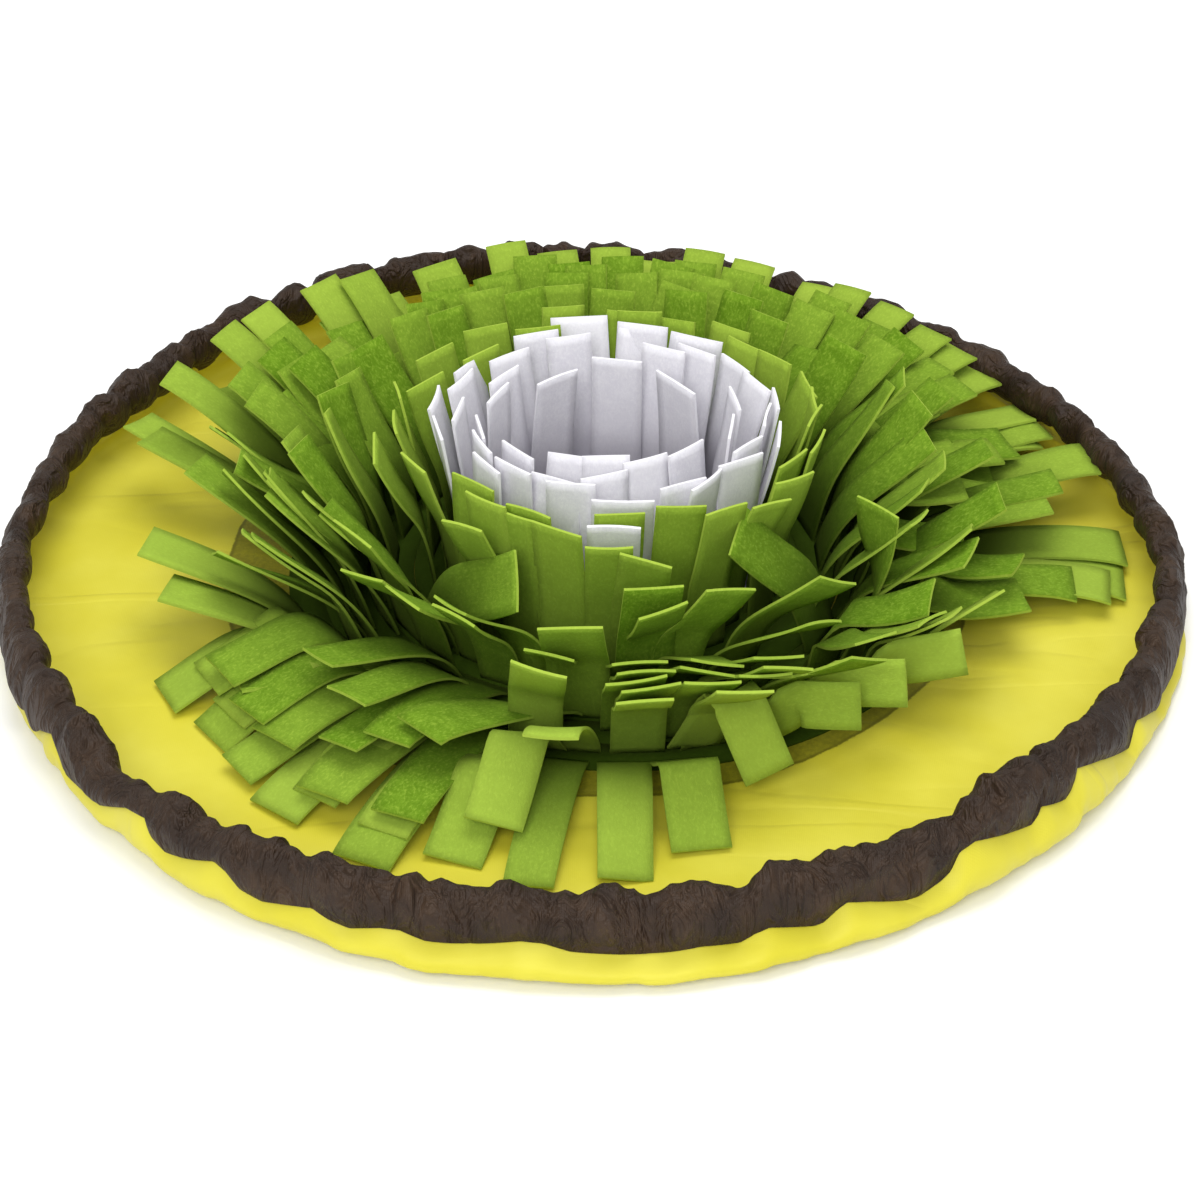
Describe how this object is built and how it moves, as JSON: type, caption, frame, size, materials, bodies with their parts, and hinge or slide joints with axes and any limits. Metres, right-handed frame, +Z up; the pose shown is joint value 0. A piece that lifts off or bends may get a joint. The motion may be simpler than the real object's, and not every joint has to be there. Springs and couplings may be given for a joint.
{
  "type": "snuffle mat",
  "caption": "Round cloth dish with a gathered rim and rings of upright felt fringe, in which dry pet food is hidden for sniffing out.",
  "frame": {"origin": "middle of the dish, on the ground under it", "axes": "+Z up out of the dish; the side that faces the camera in the picture faces -Y; +X to the right in the picture"},
  "size_m": [0.5148, 0.5181, 0.0864],
  "materials": {
    "yellow": "thin woven polyester, slight sheen",
    "brown": "thin woven polyester, slight sheen",
    "dark": "matt woven cloth",
    "green": "matt felt",
    "white": "matt felt"
  },
  "bodies": {
    "root": {"base_patch": "dark", "ground_cloth": "yellow", "rim_casing": "brown", "wreath_row_1": "green", "wreath_row_2": "green", "wreath_row_3": "green", "wreath_row_4": "green", "collar_row": "green", "cup_row_outer": "white", "cup_row_inner": "white"}
  },
  "joints": []
}
